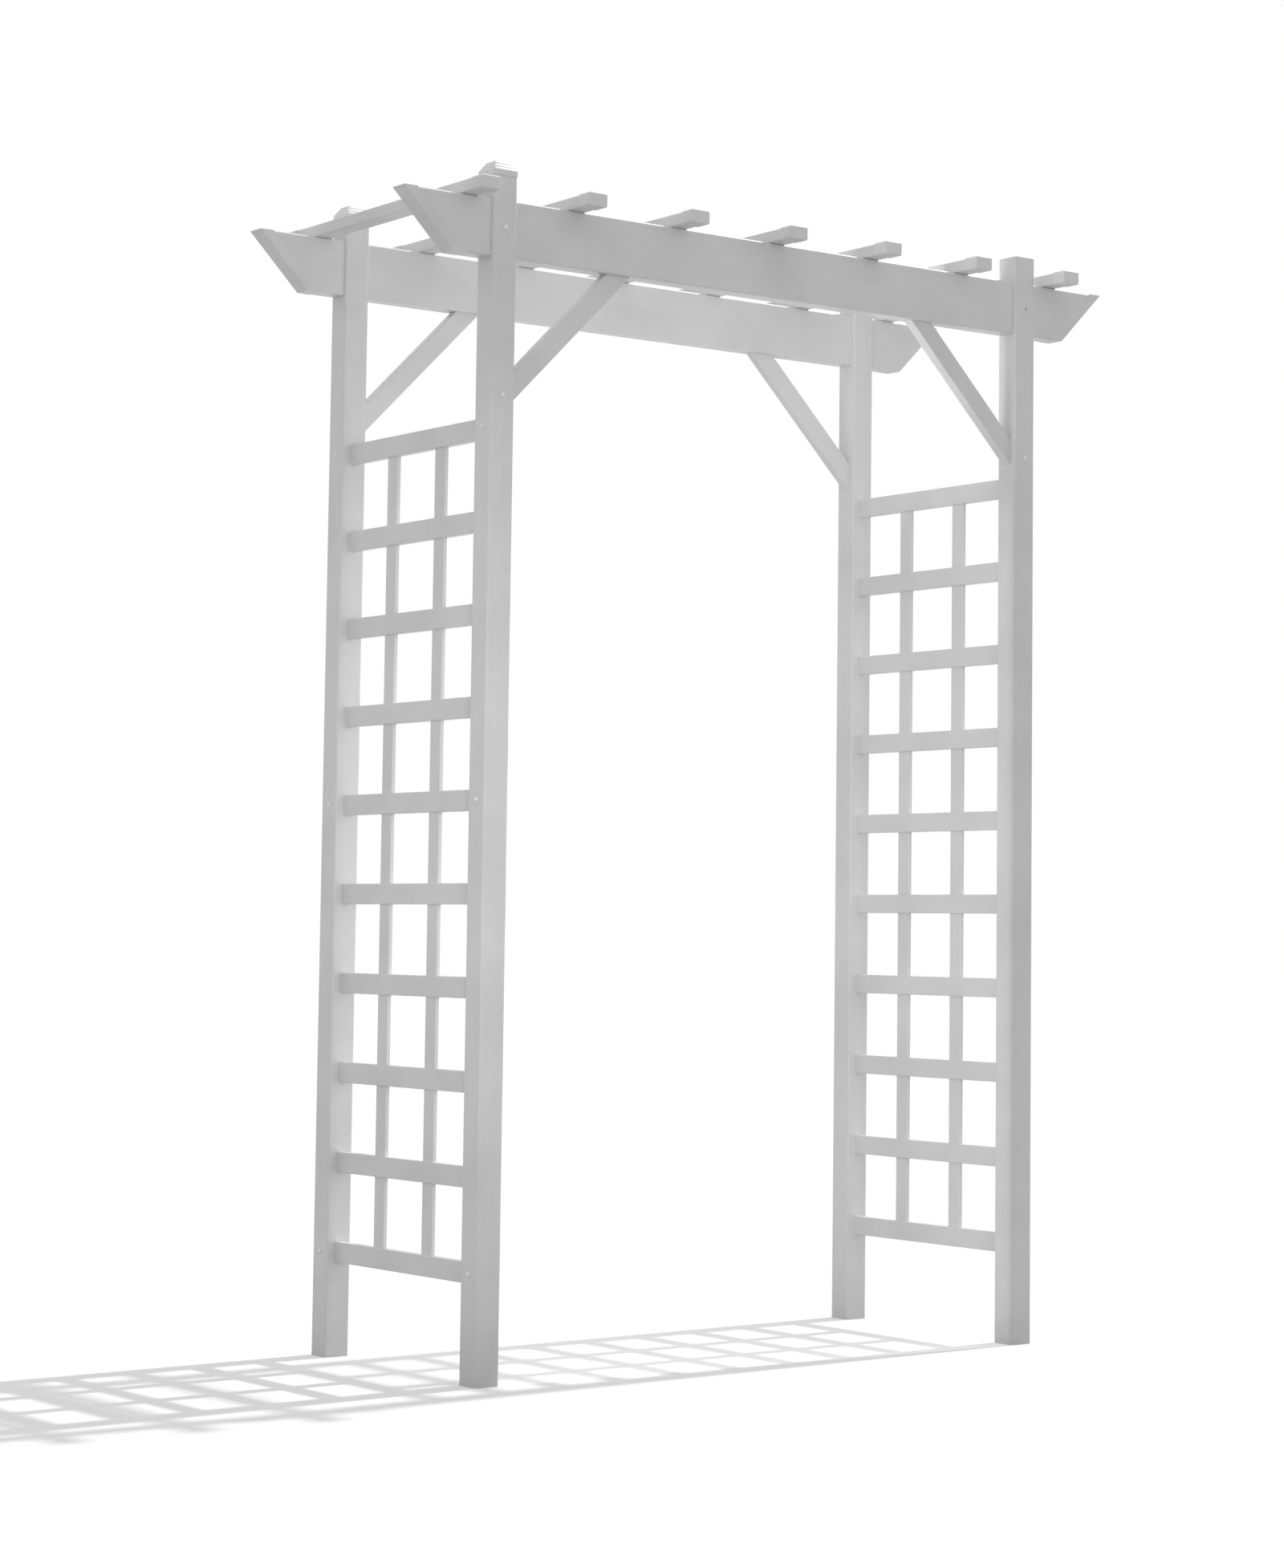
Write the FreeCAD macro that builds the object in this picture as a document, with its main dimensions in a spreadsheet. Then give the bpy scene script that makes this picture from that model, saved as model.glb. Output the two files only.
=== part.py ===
import FreeCAD, Part
import math
import os
import re
import Sketcher

# Flat-topped garden arch of hollow white vinyl. X runs across the walk-through, Y along it, Z up.
# The origin is on the ground, in the middle of the four posts. Sizes are in millimetres.

SIZES = (
    ("opening_width", 1200.0, "clear width between the left and right posts"),
    ("opening_depth", 452.0, "clear depth between the front and back posts"),
    ("fit_clearance", 0.1, "play around a piece in a routed hole or a sleeve"),
    ("inner_corner", 1.2, "radius inside the corners of a tube"),
    ("post_size", 50.8, "side of a square post"),
    ("post_wall", 3.0, "wall of a post"),
    ("post_corner", 4.0, "radius on the outside corners of a post"),
    ("post_above", 51.0, "length of post above the headers"),
    ("rail_count", 10, "trellis rails on each side"),
    ("rail_height", 38.1, "height of a rail"),
    ("rail_thickness", 15.9, "thickness of a rail"),
    ("rail_wall", 1.8, "wall of a rail"),
    ("rail_corner", 2.0, "radius on the long edges of a rail"),
    ("rail_first", 174.0, "height of the underside of the lowest rail"),
    ("rail_brace_gap", 6.8, "gap between the highest rail and the foot of a brace"),
    ("rail_end_gap", 8.0, "gap between the end of a rail and the far wall of its post"),
    ("slat_width", 34.0, "width of an upright slat"),
    ("slat_thickness", 8.0, "thickness of an upright slat"),
    ("slat_edge", 1.5, "radius on the long edges of a slat"),
    ("slat_insert", 22.0, "length of slat inside the lowest and highest rail"),
    ("header_bottom", 1991.0, "height of the underside of a header"),
    ("header_height", 105.0, "height of a header"),
    ("header_recess", 6.35, "how far a header lies behind the faces of a post"),
    ("header_wall", 2.4, "wall of a header"),
    ("header_round", 4.0, "radius on the top edges of a header"),
    ("header_edge", 3.0, "radius on the bottom edges of a header"),
    ("header_overhang", 185.4, "length of capped header past the outside of a post, along its top"),
    ("header_cut_run", 105.0, "how far the slanted end of a capped header lies back at its underside"),
    ("header_cap_length", 29.0, "length of a header's end that its cap makes up"),
    ("header_cap_plate", 2.4, "thickness of the end plate of a header end cap, along the header"),
    ("header_cap_wall", 2.0, "wall of a header end cap, and thickness of its tongues"),
    ("header_cap_tongue", 30.0, "length of the tongues of a header end cap inside the header"),
    ("header_cap_edge", 0.8, "radius around the end plate of a header end cap"),
    ("rafter_count", 7, "rafters across the headers"),
    ("rafter_width", 38.1, "width of a rafter"),
    ("rafter_height", 22.2, "height of a rafter"),
    ("rafter_wall", 1.8, "wall of a rafter"),
    ("rafter_corner", 2.4, "radius on the long edges of a rafter"),
    ("rafter_post_gap", 26.0, "gap between a post and the outermost rafter"),
    ("rafter_overhang", 57.0, "length of rafter past the outside of a post"),
    ("rafter_cap_wall", 1.4, "wall of a rafter end cap"),
    ("rafter_cap_plate", 2.0, "thickness of the end plate of a rafter end cap"),
    ("rafter_cap_skirt", 32.0, "how far a rafter end cap reaches along the rafter"),
    ("rafter_cap_edge", 2.2, "radius around the end plate of a rafter end cap"),
    ("brace_reach", 235.0, "distance from the post to where the brace meets the header"),
    ("brace_width", 38.1, "width of a brace"),
    ("brace_depth", 22.2, "thickness of a brace, front to back"),
    ("brace_wall", 1.8, "wall of a brace"),
    ("brace_corner", 2.4, "radius on the long edges of a brace"),
    ("brace_end_gap", 4.6, "gap between the foot of a brace and the far wall of its post"),
    ("brace_head_insert", 34.0, "length of brace inside the header"),
    ("brace_screw_drop", 14.0, "how far the brace screw sits below where the brace meets the post"),
    ("cap_wall", 1.2, "wall of a post cap"),
    ("cap_skirt", 8.8, "how far a post cap reaches down the post"),
    ("cap_tiers", 3, "steps of a post cap"),
    ("cap_riser", 1.4, "upright part of each step of a post cap"),
    ("cap_slope", 4.7, "height of the sloping part of each step of a post cap"),
    ("cap_run", 3.3, "how far the sloping part of a step goes in"),
    ("cap_ledge", 0.9, "ledge between two steps of a post cap"),
    ("screw_diameter", 3.5, "diameter of a screw's shank"),
    ("screw_play", 0.2, "play around a screw's shank, on the radius"),
    ("screw_length", 22.0, "length of a post screw under its head"),
    ("screw_bite", 9.0, "how far a rafter or rail screw goes into the piece that it ends in"),
    ("screw_head_diameter", 6.8, "diameter of a screw's head"),
    ("screw_head_height", 2.0, "height of a screw's head"),
    ("screw_head_round", 0.8, "radius on the rim of a screw's head"),
    ("cover_wall", 0.8, "wall of a screw cover"),
    ("cover_top", 0.6, "thickness of the top of a screw cover"),
    ("cover_round", 1.1, "radius on the rim of a screw cover"),
    ("cover_play", 0.3, "play between a screw's head and its cover"),
)
NAMES = {name for name, value, note in SIZES}

# Sizes and places worked out from the sheet
HEADER_THICKNESS = "(post_size - 2 * header_recess)"
POST_X = "((opening_width + post_size) / 2)"
POST_Y = "((opening_depth + post_size) / 2)"
OUTER_X = "(opening_width / 2 + post_size)"
OUTER_Y = "(opening_depth / 2 + post_size)"
HEADER_TOP = "(header_bottom + header_height)"
HEADER_MIDDLE = "(header_bottom + header_height / 2)"
HEADER_HALF = f"({OUTER_X} + header_overhang)"
POST_HEIGHT = f"({HEADER_TOP} + post_above)"
BRACE_FOOT = "(header_bottom - brace_reach)"
BRACE_IN_POST = "(post_size - post_wall - brace_end_gap)"
BRACE_FOOT_INSERT = f"({BRACE_IN_POST} * sqrt(2) - brace_width / 2)"
BRACE_SCREW = f"({BRACE_FOOT} - brace_screw_drop)"
BRACE_SLOT = "((brace_width / 2 + fit_clearance) * sqrt(2))"
RAIL_LAST = f"({BRACE_FOOT} - {BRACE_IN_POST} - rail_brace_gap - rail_height)"
RAIL_PITCH = f"(({RAIL_LAST} - rail_first) / (rail_count - 1))"
RAIL_HALF = f"({OUTER_Y} - post_wall - rail_end_gap)"
RAIL_SCREW = "((post_size - rail_thickness) / 2 + screw_bite)"
SLAT_Y = "((opening_depth + slat_width) / 6)"
RAFTER_HALF = f"({OUTER_Y} + rafter_overhang)"
RAFTER_LAST = f"({OUTER_X} + rafter_post_gap + rafter_width / 2)"
RAFTER_PITCH = f"(2 * {RAFTER_LAST} / (rafter_count - 1))"
SHANK_HOLE = "(screw_diameter + 2 * screw_play)"
COVER_HOLLOW = "(screw_head_diameter + 2 * cover_play)"
COVER_DEPTH = "(screw_head_height + cover_play)"

FRONT, BACK = -1, 1
LEFT, RIGHT = -1, 1
NAME_X = {LEFT: "left", RIGHT: "right"}
NAME_Y = {FRONT: "front", BACK: "back"}
CORNERS = ((LEFT, FRONT), (RIGHT, FRONT), (LEFT, BACK), (RIGHT, BACK))
CAPPED_CORNERS = ((LEFT, FRONT), (LEFT, BACK), (RIGHT, BACK))
NORMALS = {"XY_Plane": FreeCAD.Vector(0, 0, 1), "XZ_Plane": FreeCAD.Vector(0, -1, 0),
           "YZ_Plane": FreeCAD.Vector(1, 0, 0)}
TOLERANCE = 1e-6

doc = FreeCAD.newDocument("garden_arch")
sheet = doc.addObject("Spreadsheet::Sheet", "Sizes")
for line, (name, value, note) in enumerate(SIZES, start=1):
    sheet.set(f"A{line}", name)
    sheet.set(f"B{line}", str(value))
    sheet.setAlias(f"B{line}", name)
    sheet.set(f"C{line}", note)
doc.recompute()


def bound(expression):
    """The expression with every size name pointing at its cell of the sheet."""
    return re.sub("[a-z_]+", lambda m: "Sizes." + m.group() if m.group() in NAMES else m.group(), expression)


def number(expression):
    """The value that an expression has now."""
    return float(sheet.evalExpression(bound(expression)))


def count(name):
    return round(number(name))


def signed(sign, expression):
    return f"{sign} * ({expression})"


# Steps that every body is made with


def new_body(label):
    body = doc.addObject("PartDesign::Body", label)
    body.Label = label
    return body


def origin_feature(body, role):
    return next(feature for feature in body.Origin.OriginFeatures if feature.Role == role)


def new_sketch(body, name, role, lift="0"):
    """An empty sketch on one of the body's own planes, moved along the plane's normal by lift."""
    sketch = body.newObject("Sketcher::SketchObject", f"{body.Label}_{name}")
    sketch.AttachmentSupport = (origin_feature(body, role), "")
    sketch.MapMode = "FlatFace"
    sketch.setExpression("AttachmentOffset.Base.z", bound(lift))
    return sketch


def constrain(sketch, expression, *constraint):
    """Adds a constraint whose value follows the sheet."""
    index = sketch.addConstraint(Sketcher.Constraint(*constraint, number(expression)))
    sketch.setExpression(f"Constraints[{index}]", bound(expression))


def add_outline(sketch, points):
    """A closed outline of straight lines through points given as pairs of expressions."""
    first = sketch.GeometryCount
    total = len(points)
    corners = [FreeCAD.Vector(number(x), number(y), 0) for x, y in points]
    for i in range(total):
        sketch.addGeometry(Part.LineSegment(corners[i], corners[(i + 1) % total]), False)
    for i in range(total):
        sketch.addConstraint(Sketcher.Constraint("Coincident", first + i, 2, first + (i + 1) % total, 1))
    for i, (x, y) in enumerate(points):
        constrain(sketch, x, "DistanceX", -1, 1, first + i, 1)
        constrain(sketch, y, "DistanceY", -1, 1, first + i, 1)


def add_rounded(sketch, left, bottom, right, top, low_radius, high_radius):
    """A closed rectangle with rounded corners: four lines joined by four tangent arcs."""
    first = sketch.GeometryCount
    x0, y0, x1, y1 = (number(value) for value in (left, bottom, right, top))
    low = number(low_radius)
    high = number(high_radius)
    starts = ((x0 + low, y0), (x1, y0 + low), (x1 - high, y1), (x0, y1 - high))
    ends = ((x1 - low, y0), (x1, y1 - high), (x0 + high, y1), (x0, y0 + low))
    centres = ((x1 - low, y0 + low), (x1 - high, y1 - high), (x0 + high, y1 - high), (x0 + low, y0 + low))
    radii = (low_radius, high_radius, high_radius, low_radius)
    for start, end in zip(starts, ends):
        sketch.addGeometry(Part.LineSegment(FreeCAD.Vector(*start, 0), FreeCAD.Vector(*end, 0)), False)
    for i, (centre, radius) in enumerate(zip(centres, radii)):
        circle = Part.Circle(FreeCAD.Vector(*centre, 0), FreeCAD.Vector(0, 0, 1), number(radius))
        angle = (i - 1) * math.pi / 2
        sketch.addGeometry(Part.ArcOfCircle(circle, angle, angle + math.pi / 2), False)
    for i in range(4):
        arc = first + 4 + i
        sketch.addConstraint(Sketcher.Constraint("Tangent", first + i, 2, arc, 1))
        sketch.addConstraint(Sketcher.Constraint("Tangent", arc, 2, first + (i + 1) % 4, 1))
    for i, (place, axis) in enumerate(((bottom, "Y"), (right, "X"), (top, "Y"), (left, "X"))):
        sketch.addConstraint(Sketcher.Constraint("Horizontal" if axis == "Y" else "Vertical", first + i))
        constrain(sketch, place, "Distance" + axis, -1, 1, first + i, 1)
    for i, radius in enumerate(radii):
        constrain(sketch, radius, "Radius", first + 4 + i)


def add_centred(sketch, width, depth, radius):
    """A rounded rectangle about the sketch's origin."""
    half_width = f"({width}) / 2"
    half_depth = f"({depth}) / 2"
    add_rounded(sketch, f"-{half_width}", f"-{half_depth}", half_width, half_depth, radius, radius)


def add_tube(sketch, bottom, width, height, wall, low_radius, high_radius, high_inner_radius):
    """The section of a hollow tube, centred left to right: an outer and an inner rounded rectangle."""
    half = f"({width}) / 2"
    top = f"{bottom} + {height}"
    add_rounded(sketch, f"-{half}", bottom, half, top, low_radius, high_radius)
    inner = f"({half} - {wall})"
    add_rounded(sketch, f"-{inner}", f"{bottom} + {wall}", inner, f"{top} - {wall}", "inner_corner",
                high_inner_radius)


def add_circle(sketch, x, y, diameter):
    first = sketch.GeometryCount
    centre = FreeCAD.Vector(number(x), number(y), 0)
    sketch.addGeometry(Part.Circle(centre, FreeCAD.Vector(0, 0, 1), number(diameter) / 2), False)
    constrain(sketch, x, "DistanceX", -1, 1, first, 3)
    constrain(sketch, y, "DistanceY", -1, 1, first, 3)
    constrain(sketch, diameter, "Diameter", first)


def extrude(body, kind, sketch, length, symmetric, reverse):
    """A pad or pocket of the sketch; without a length it goes through everything."""
    feature = body.newObject("PartDesign::" + kind, f"{sketch.Name}_{kind.lower()}")
    feature.Profile = sketch
    feature.SideType = "Symmetric" if symmetric else "One side"
    feature.Reversed = reverse
    if length is None:
        feature.Type = "ThroughAll"
    else:
        feature.setExpression("Length", bound(length))
    return feature


def pad(body, sketch, length, symmetric=False, reverse=False):
    feature = extrude(body, "Pad", sketch, length, symmetric, reverse)
    doc.recompute()
    return feature


def pocket(body, sketch, length=None, symmetric=False, reverse=False):
    """A pocket that is checked to take material away."""
    before = body.Shape.Volume
    feature = extrude(body, "Pocket", sketch, length, symmetric, reverse)
    doc.recompute()
    if body.Shape.Volume > before - TOLERANCE:
        raise RuntimeError(f"{feature.Name} cuts nothing")
    return feature


def fillet(body, base, radius, wanted):
    """Rounds the edges of the base feature whose middle passes the wanted test."""
    names = []
    for index, edge in enumerate(base.Shape.Edges, start=1):
        middle = edge.valueAt((edge.FirstParameter + edge.LastParameter) / 2)
        if wanted(middle):
            names.append(f"Edge{index}")
    feature = body.newObject("PartDesign::Fillet", base.Name + "_fillet")
    feature.Base = (base, names)
    feature.setExpression("Radius", bound(radius))
    doc.recompute()
    return feature


def repeat(body, originals, role, spacing, occurrences):
    """Copies in a row along one of the body's axes, of the features given or of the whole body."""
    feature = body.newObject("PartDesign::LinearPattern", body.Label + "_row")
    if originals:
        feature.Originals = originals
    else:
        feature.TransformMode = "Whole shape"
    feature.Direction = (origin_feature(body, role), [""])
    feature.setExpression("Length", bound(f"{spacing} * ({occurrences} - 1)"))
    feature.setExpression("Occurrences", bound(occurrences))
    body.Tip = feature
    doc.recompute()


def place(body, x="0", y="0", z="0"):
    for axis, expression in (("x", x), ("y", y), ("z", z)):
        body.setExpression("Placement.Base." + axis, bound(expression))


def rail_level(index):
    """Underside of a rail, counted from the lowest."""
    return f"(rail_first + {index} * {RAIL_PITCH})"


def rail_middle(index):
    return f"({rail_level(index)} + rail_height / 2)"


def screwed_rails():
    """The lowest, the middle and the highest rail are screwed to the posts."""
    total = count("rail_count")
    return (0, total // 2, total - 1)


# Posts and their caps


def make_post(side_x, side_y):
    """A square tube with holes for the header, the rails, the brace and their screws."""
    body = new_body(f"post_{NAME_Y[side_y]}_{NAME_X[side_x]}")
    section = new_sketch(body, "section", "XY_Plane")
    add_tube(section, "-post_size / 2", "post_size", "post_size", "post_wall", "post_corner", "post_corner",
             "inner_corner")
    pad(body, section, POST_HEIGHT)

    header = new_sketch(body, "header_hole", "YZ_Plane")
    half = f"({HEADER_THICKNESS} / 2 + fit_clearance)"
    add_rounded(header, f"-{half}", "header_bottom - fit_clearance", half, f"{HEADER_TOP} + fit_clearance",
                "header_edge + fit_clearance", "header_round + fit_clearance")
    pocket(body, header, symmetric=True)

    rail = new_sketch(body, "rail_hole", "XZ_Plane")
    half = "(rail_thickness / 2 + fit_clearance)"
    radius = "rail_corner + fit_clearance"
    add_rounded(rail, f"-{half}", "rail_first - fit_clearance", half, "rail_first + rail_height + fit_clearance",
                radius, radius)
    hole = pocket(body, rail, reverse=side_y == BACK)
    repeat(body, [hole], "Z_Axis", RAIL_PITCH, "rail_count")

    brace = new_sketch(body, "brace_slot", "XZ_Plane")
    outside = "post_wall"
    inside = "(-2 * post_wall)"
    points = []
    for reach, edge in ((outside, "-"), (inside, "-"), (inside, "+"), (outside, "+")):
        level = f"{BRACE_FOOT} + {reach} {edge} {BRACE_SLOT}"
        points.append((signed(-side_x, f"post_size / 2 + {reach}"), level))
    add_outline(brace, points)
    pocket(body, brace, "brace_depth + 2 * fit_clearance", symmetric=True)

    rail_screws = new_sketch(body, "rail_screw_holes", "YZ_Plane")
    for index in screwed_rails():
        add_circle(rail_screws, "0", rail_middle(index), SHANK_HOLE)
    pocket(body, rail_screws, reverse=side_x == RIGHT)

    face_screws = new_sketch(body, "face_screw_holes", "XZ_Plane")
    for level in (HEADER_MIDDLE, BRACE_SCREW):
        add_circle(face_screws, "0", level, SHANK_HOLE)
    pocket(body, face_screws, reverse=side_y == FRONT)
    place(body, signed(side_x, POST_X), signed(side_y, POST_Y))


def make_post_cap(side_x, side_y):
    """A stepped pyramid whose skirt goes over the top of a post."""
    body = new_body(f"post_cap_{NAME_Y[side_y]}_{NAME_X[side_x]}")
    half = "(post_size / 2 + fit_clearance + cap_wall)"

    def square(name, lift, inset):
        side = f"({half} - {inset})"
        sketch = new_sketch(body, name, "XY_Plane", lift)
        add_outline(sketch, (("-" + side, "-" + side), (side, "-" + side), (side, side), ("-" + side, side)))
        return sketch

    pad(body, square("skirt", "-cap_skirt", "0"), "cap_skirt")
    for tier in range(count("cap_tiers")):
        base = f"{tier} * (cap_riser + cap_slope)"
        inset = f"{tier} * (cap_run + cap_ledge)"
        pad(body, square(f"riser_{tier + 1}", base, inset), "cap_riser")
        slope = pad(body, square(f"slope_{tier + 1}", f"{base} + cap_riser", inset), "cap_slope")
        slope.setExpression("TaperAngle", bound("-atan(cap_run / cap_slope)"))
        doc.recompute()

    hollow = new_sketch(body, "hollow", "XY_Plane")
    width = "post_size + 2 * fit_clearance"
    add_centred(hollow, width, width, "post_corner")
    pocket(body, hollow)
    place(body, signed(side_x, POST_X), signed(side_y, POST_Y), POST_HEIGHT)


# Headers and their end caps


def end_line(level, back):
    """Distance from a header's middle to a line so far back from its slanted end, at a level of its height."""
    return f"({HEADER_HALF} - {back} - header_cut_run * (1 - ({level}) / header_height))"


def make_header(side_y):
    """A deep hollow beam through two posts, cut on a slant at both ends, where its caps sit."""
    body = new_body(f"header_{NAME_Y[side_y]}")
    section = new_sketch(body, "section", "YZ_Plane")
    add_tube(section, "0", HEADER_THICKNESS, "header_height", "header_wall", "header_edge", "header_round",
             "header_round - header_wall")
    pad(body, section, f"2 * ({HEADER_HALF} - header_cap_length)", symmetric=True)

    ends = new_sketch(body, "slanted_ends", "XZ_Plane")
    below = "-header_wall"
    above = "header_height + header_wall"
    for side_x in (LEFT, RIGHT):
        corner_low = signed(side_x, end_line(below, "header_cap_length"))
        corner_high = signed(side_x, end_line(above, "header_cap_length"))
        add_outline(ends, ((corner_low, below), (corner_high, above), (corner_high, below)))
    pocket(body, ends, symmetric=True)

    slots = new_sketch(body, "brace_slots", "XZ_Plane")
    outside = "(-header_wall)"
    inside = "(2 * header_wall)"
    for side_x in (LEFT, RIGHT):
        points = []
        for level, edge in ((outside, "-"), (inside, "-"), (inside, "+"), (outside, "+")):
            distance = f"opening_width / 2 - brace_reach - {level} {edge} {BRACE_SLOT}"
            points.append((signed(side_x, distance), level))
        add_outline(slots, points)
    pocket(body, slots, "brace_depth + 2 * fit_clearance", symmetric=True)

    post_screws = new_sketch(body, "post_screw_holes", "XZ_Plane")
    for side_x in (LEFT, RIGHT):
        add_circle(post_screws, signed(side_x, POST_X), "header_height / 2", SHANK_HOLE)
    pocket(body, post_screws, reverse=side_y == FRONT)

    rafter_screws = new_sketch(body, "rafter_screw_holes", "XY_Plane", "header_height / 2")
    add_circle(rafter_screws, f"-{RAFTER_LAST}", "0", SHANK_HOLE)
    hole = pocket(body, rafter_screws, reverse=True)
    repeat(body, [hole], "X_Axis", RAFTER_PITCH, "rafter_count")
    place(body, y=signed(side_y, POST_Y), z="header_bottom")


def make_header_cap(side_x, side_y):
    """A slanted box, flush with a header and open towards it, with two tongues that go inside the header."""
    body = new_body(f"header_cap_{NAME_Y[side_y]}_{NAME_X[side_x]}")

    def slanted_x(level, back):
        return signed(side_x, end_line(level, back))

    def band(name, bottom, top, near, far):
        """A sketch between two levels and two lines that far back from the slanted end."""
        sketch = new_sketch(body, name, "XZ_Plane")
        corners = ((bottom, near), (bottom, far), (top, far), (top, near))
        add_outline(sketch, [(slanted_x(level, back), level) for level, back in corners])
        return sketch

    box = pad(body, band("box", "0", "header_height", "header_cap_length", "0"), HEADER_THICKNESS, symmetric=True)
    end_low = number(slanted_x("0", "0"))
    end_high = number(slanted_x("header_height", "0"))
    end_edges = (end_low, end_high, (end_low + end_high) / 2)
    fillet(body, box, "header_cap_edge", lambda point: min(abs(point.x - x) for x in end_edges) < TOLERANCE)

    inside = f"({HEADER_THICKNESS} - 2 * header_wall - 2 * fit_clearance)"
    tip = "(header_cap_length + header_cap_tongue)"
    tongues = band("tongues", "header_round", "header_height - header_round", tip, "header_cap_plate")
    pad(body, tongues, inside, symmetric=True)
    hollow = band("hollow", "header_cap_wall", "header_height - header_cap_wall", f"({tip} + header_cap_wall)",
                  "header_cap_plate")
    pocket(body, hollow, f"{inside} - 2 * header_cap_wall", symmetric=True)
    place(body, y=signed(side_y, POST_Y), z="header_bottom")


# Rafters and their end caps


def make_rafter(index):
    """A flat tube across both headers, drilled for a screw over each."""
    body = new_body(f"rafter_{index + 1}")
    section = new_sketch(body, "section", "XZ_Plane")
    add_tube(section, "0", "rafter_width", "rafter_height", "rafter_wall", "rafter_corner", "rafter_corner",
             "inner_corner")
    pad(body, section, f"2 * {RAFTER_HALF}", symmetric=True)
    holes = new_sketch(body, "screw_holes", "XY_Plane")
    for side_y in (FRONT, BACK):
        add_circle(holes, "0", signed(side_y, POST_Y), SHANK_HOLE)
    pocket(body, holes, symmetric=True)
    place(body, f"{index} * {RAFTER_PITCH} - {RAFTER_LAST}", z=HEADER_TOP)


def make_rafter_caps(side_y):
    """The row of caps on one end of the rafters, each a sleeve with an end plate."""
    body = new_body(f"rafter_caps_{NAME_Y[side_y]}")
    back = side_y == BACK
    tip = f"({RAFTER_HALF} + rafter_cap_plate)"

    def frame(name, lift, play):
        sketch = new_sketch(body, name, "XZ_Plane", signed(-side_y, lift))
        half = f"(rafter_width / 2 + {play})"
        radius = f"rafter_corner + {play}"
        add_rounded(sketch, f"-{RAFTER_LAST} - {half}", f"-{play}", f"-{RAFTER_LAST} + {half}",
                    f"rafter_height + {play}", radius, radius)
        return sketch

    shell = frame("shell", tip, "(fit_clearance + rafter_cap_wall)")
    block = pad(body, shell, "rafter_cap_plate + rafter_cap_skirt", reverse=not back)
    end = side_y * number(tip)
    fillet(body, block, "rafter_cap_edge", lambda point: abs(point.y - end) < TOLERANCE)
    pocket(body, frame("hollow", RAFTER_HALF, "fit_clearance"), reverse=back)
    repeat(body, None, "X_Axis", RAFTER_PITCH, "rafter_count")
    place(body, z=HEADER_TOP)


# Trellis sides


def make_rail(side_x, index):
    """A tube from post to post, slotted for the slats."""
    body = new_body(f"rail_{NAME_X[side_x]}_{index + 1}")
    section = new_sketch(body, "section", "XZ_Plane")
    add_tube(section, "0", "rail_thickness", "rail_height", "rail_wall", "rail_corner", "rail_corner",
             "inner_corner")
    pad(body, section, f"2 * {RAIL_HALF}", symmetric=True)

    slots = new_sketch(body, "slots", "XY_Plane", "rail_height / 2")
    thick = "(slat_thickness / 2 + fit_clearance)"
    wide = "(slat_width / 2 + fit_clearance)"
    radius = "slat_edge + fit_clearance"
    for side_y in (FRONT, BACK):
        middle = signed(side_y, SLAT_Y)
        add_rounded(slots, f"-{thick}", f"{middle} - {wide}", thick, f"{middle} + {wide}", radius, radius)
    lowest = index == 0
    highest = index == count("rail_count") - 1
    pocket(body, slots, symmetric=not lowest and not highest, reverse=lowest)

    if index in screwed_rails():
        holes = new_sketch(body, "screw_holes", "YZ_Plane")
        for side_y in (FRONT, BACK):
            add_circle(holes, signed(side_y, POST_Y), "rail_height / 2", SHANK_HOLE)
        pocket(body, holes, reverse=side_x == RIGHT)
    place(body, signed(side_x, POST_X), z=rail_level(index))


def make_slat(side_x, side_y):
    """A thin upright lath through all the rails of one side."""
    body = new_body(f"slat_{NAME_X[side_x]}_{NAME_Y[side_y]}")
    section = new_sketch(body, "section", "XY_Plane")
    add_centred(section, "slat_thickness", "slat_width", "slat_edge")
    start = "(rail_first + rail_height - slat_insert)"
    pad(body, section, f"{RAIL_LAST} + slat_insert - {start}")
    place(body, signed(side_x, POST_X), signed(side_y, SLAT_Y), start)


# Braces


def make_brace(side_x, side_y):
    """A flat tube at 45 degrees whose ends are let into the post and the header."""
    body = new_body(f"brace_{NAME_Y[side_y]}_{NAME_X[side_x]}")
    section = new_sketch(body, "section", "XY_Plane")
    add_tube(section, "-brace_depth / 2", "brace_width", "brace_depth", "brace_wall", "brace_corner",
             "brace_corner", "inner_corner")
    pad(body, section, f"{BRACE_FOOT_INSERT} + brace_reach * sqrt(2) + brace_head_insert")

    hole = new_sketch(body, "screw_hole", "XZ_Plane")
    across = signed(side_x, "(post_size / 2 - brace_screw_drop) / sqrt(2)")
    along = f"{BRACE_FOOT_INSERT} - (post_size / 2 + brace_screw_drop) / sqrt(2)"
    add_circle(hole, across, along, SHANK_HOLE)
    pocket(body, hole, reverse=side_y == FRONT)

    body.Placement.Rotation = FreeCAD.Rotation(FreeCAD.Vector(0, 1, 0), -45 * side_x)
    foot = f"{BRACE_FOOT_INSERT} / sqrt(2)"
    place(body, signed(side_x, f"opening_width / 2 + {foot}"), signed(side_y, POST_Y), f"{BRACE_FOOT} - {foot}")


# Screws and their covers


def side_points():
    """Screws on the outer sides of the posts, as places along Y and Z."""
    return [(signed(side_y, POST_Y), rail_middle(index)) for side_y in (FRONT, BACK) for index in screwed_rails()]


def face_points():
    """Screws on the front or back faces of the posts, as places along X and Z."""
    levels = (HEADER_MIDDLE, BRACE_SCREW)
    return [(signed(side_x, POST_X), level) for side_x in (LEFT, RIGHT) for level in levels]


def discs(body, name, role, lift, points, diameter):
    sketch = new_sketch(body, name, role, lift)
    for x, y in points:
        add_circle(sketch, x, y, diameter)
    return sketch


def round_rim(body, base, role, level, radius):
    """Rounds the edges of the base feature that lie at a level along the plane's normal."""
    fillet(body, base, radius, lambda point: abs(point.dot(NORMALS[role]) - level) < TOLERANCE)


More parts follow.
